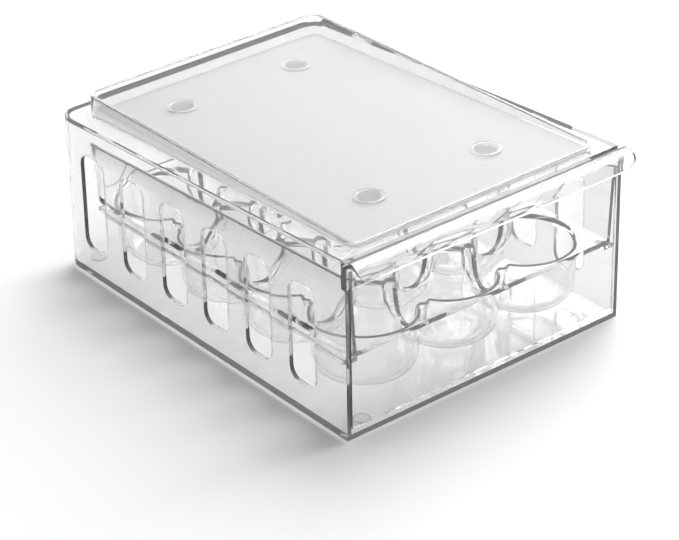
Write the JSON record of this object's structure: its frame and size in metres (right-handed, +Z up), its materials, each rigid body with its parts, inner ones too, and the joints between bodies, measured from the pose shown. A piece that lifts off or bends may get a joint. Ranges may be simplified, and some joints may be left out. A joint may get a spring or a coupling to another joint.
{
  "type": "egg storage drawer",
  "caption": "Clear stackable refrigerator box with a pull-out egg tray of round cups, slotted side walls, a frosted top inside a low rim and a rolled front lip.",
  "frame": {"origin": "middle of the whole footprint, lip included, on the surface the feet stand on", "axes": "+Z up, -Y towards the drawer front and its lip, +X towards the user's right as they face the drawer front"},
  "size_m": [0.1688, 0.2328, 0.095],
  "materials": {
    "clear_acrylic": "clear, polished moulded plastic",
    "frosted_acrylic": "fine matt texture, lets light through"
  },
  "bodies": {
    "case": {"case_base": "clear_acrylic", "case_back": "clear_acrylic", "case_roof": "clear_acrylic", "stacking_rim": "clear_acrylic", "frosted_panel": "frosted_acrylic", "case_side_left": "clear_acrylic", "runner_left": "clear_acrylic", "case_side_right": "clear_acrylic", "runner_right": "clear_acrylic", "panel_ring_front_left": "clear_acrylic", "panel_ring_front_right": "clear_acrylic", "panel_ring_rear_left": "clear_acrylic", "panel_ring_rear_right": "clear_acrylic", "foot_front_left": "clear_acrylic", "foot_front_right": "clear_acrylic", "foot_rear_left": "clear_acrylic", "foot_rear_right": "clear_acrylic"},
    "drawer": {"drawer_front": "clear_acrylic", "handle_lip": "clear_acrylic", "tray_wall_left": "clear_acrylic", "tray_wall_right": "clear_acrylic", "egg_cup_row1_left": "clear_acrylic", "egg_cup_row1_middle": "clear_acrylic", "egg_cup_row1_right": "clear_acrylic", "egg_cup_row2_left": "clear_acrylic", "egg_cup_row2_middle": "clear_acrylic", "egg_cup_row2_right": "clear_acrylic", "egg_cup_row3_left": "clear_acrylic", "egg_cup_row3_middle": "clear_acrylic", "egg_cup_row3_right": "clear_acrylic", "egg_cup_row4_left": "clear_acrylic", "egg_cup_row4_middle": "clear_acrylic", "egg_cup_row4_right": "clear_acrylic"}
  },
  "joints": [
    {"name": "drawer_slide", "type": "slide", "parent": "case", "child": "drawer", "axis": [0, -1, 0], "range_m": [0, 0.18]}
  ]
}
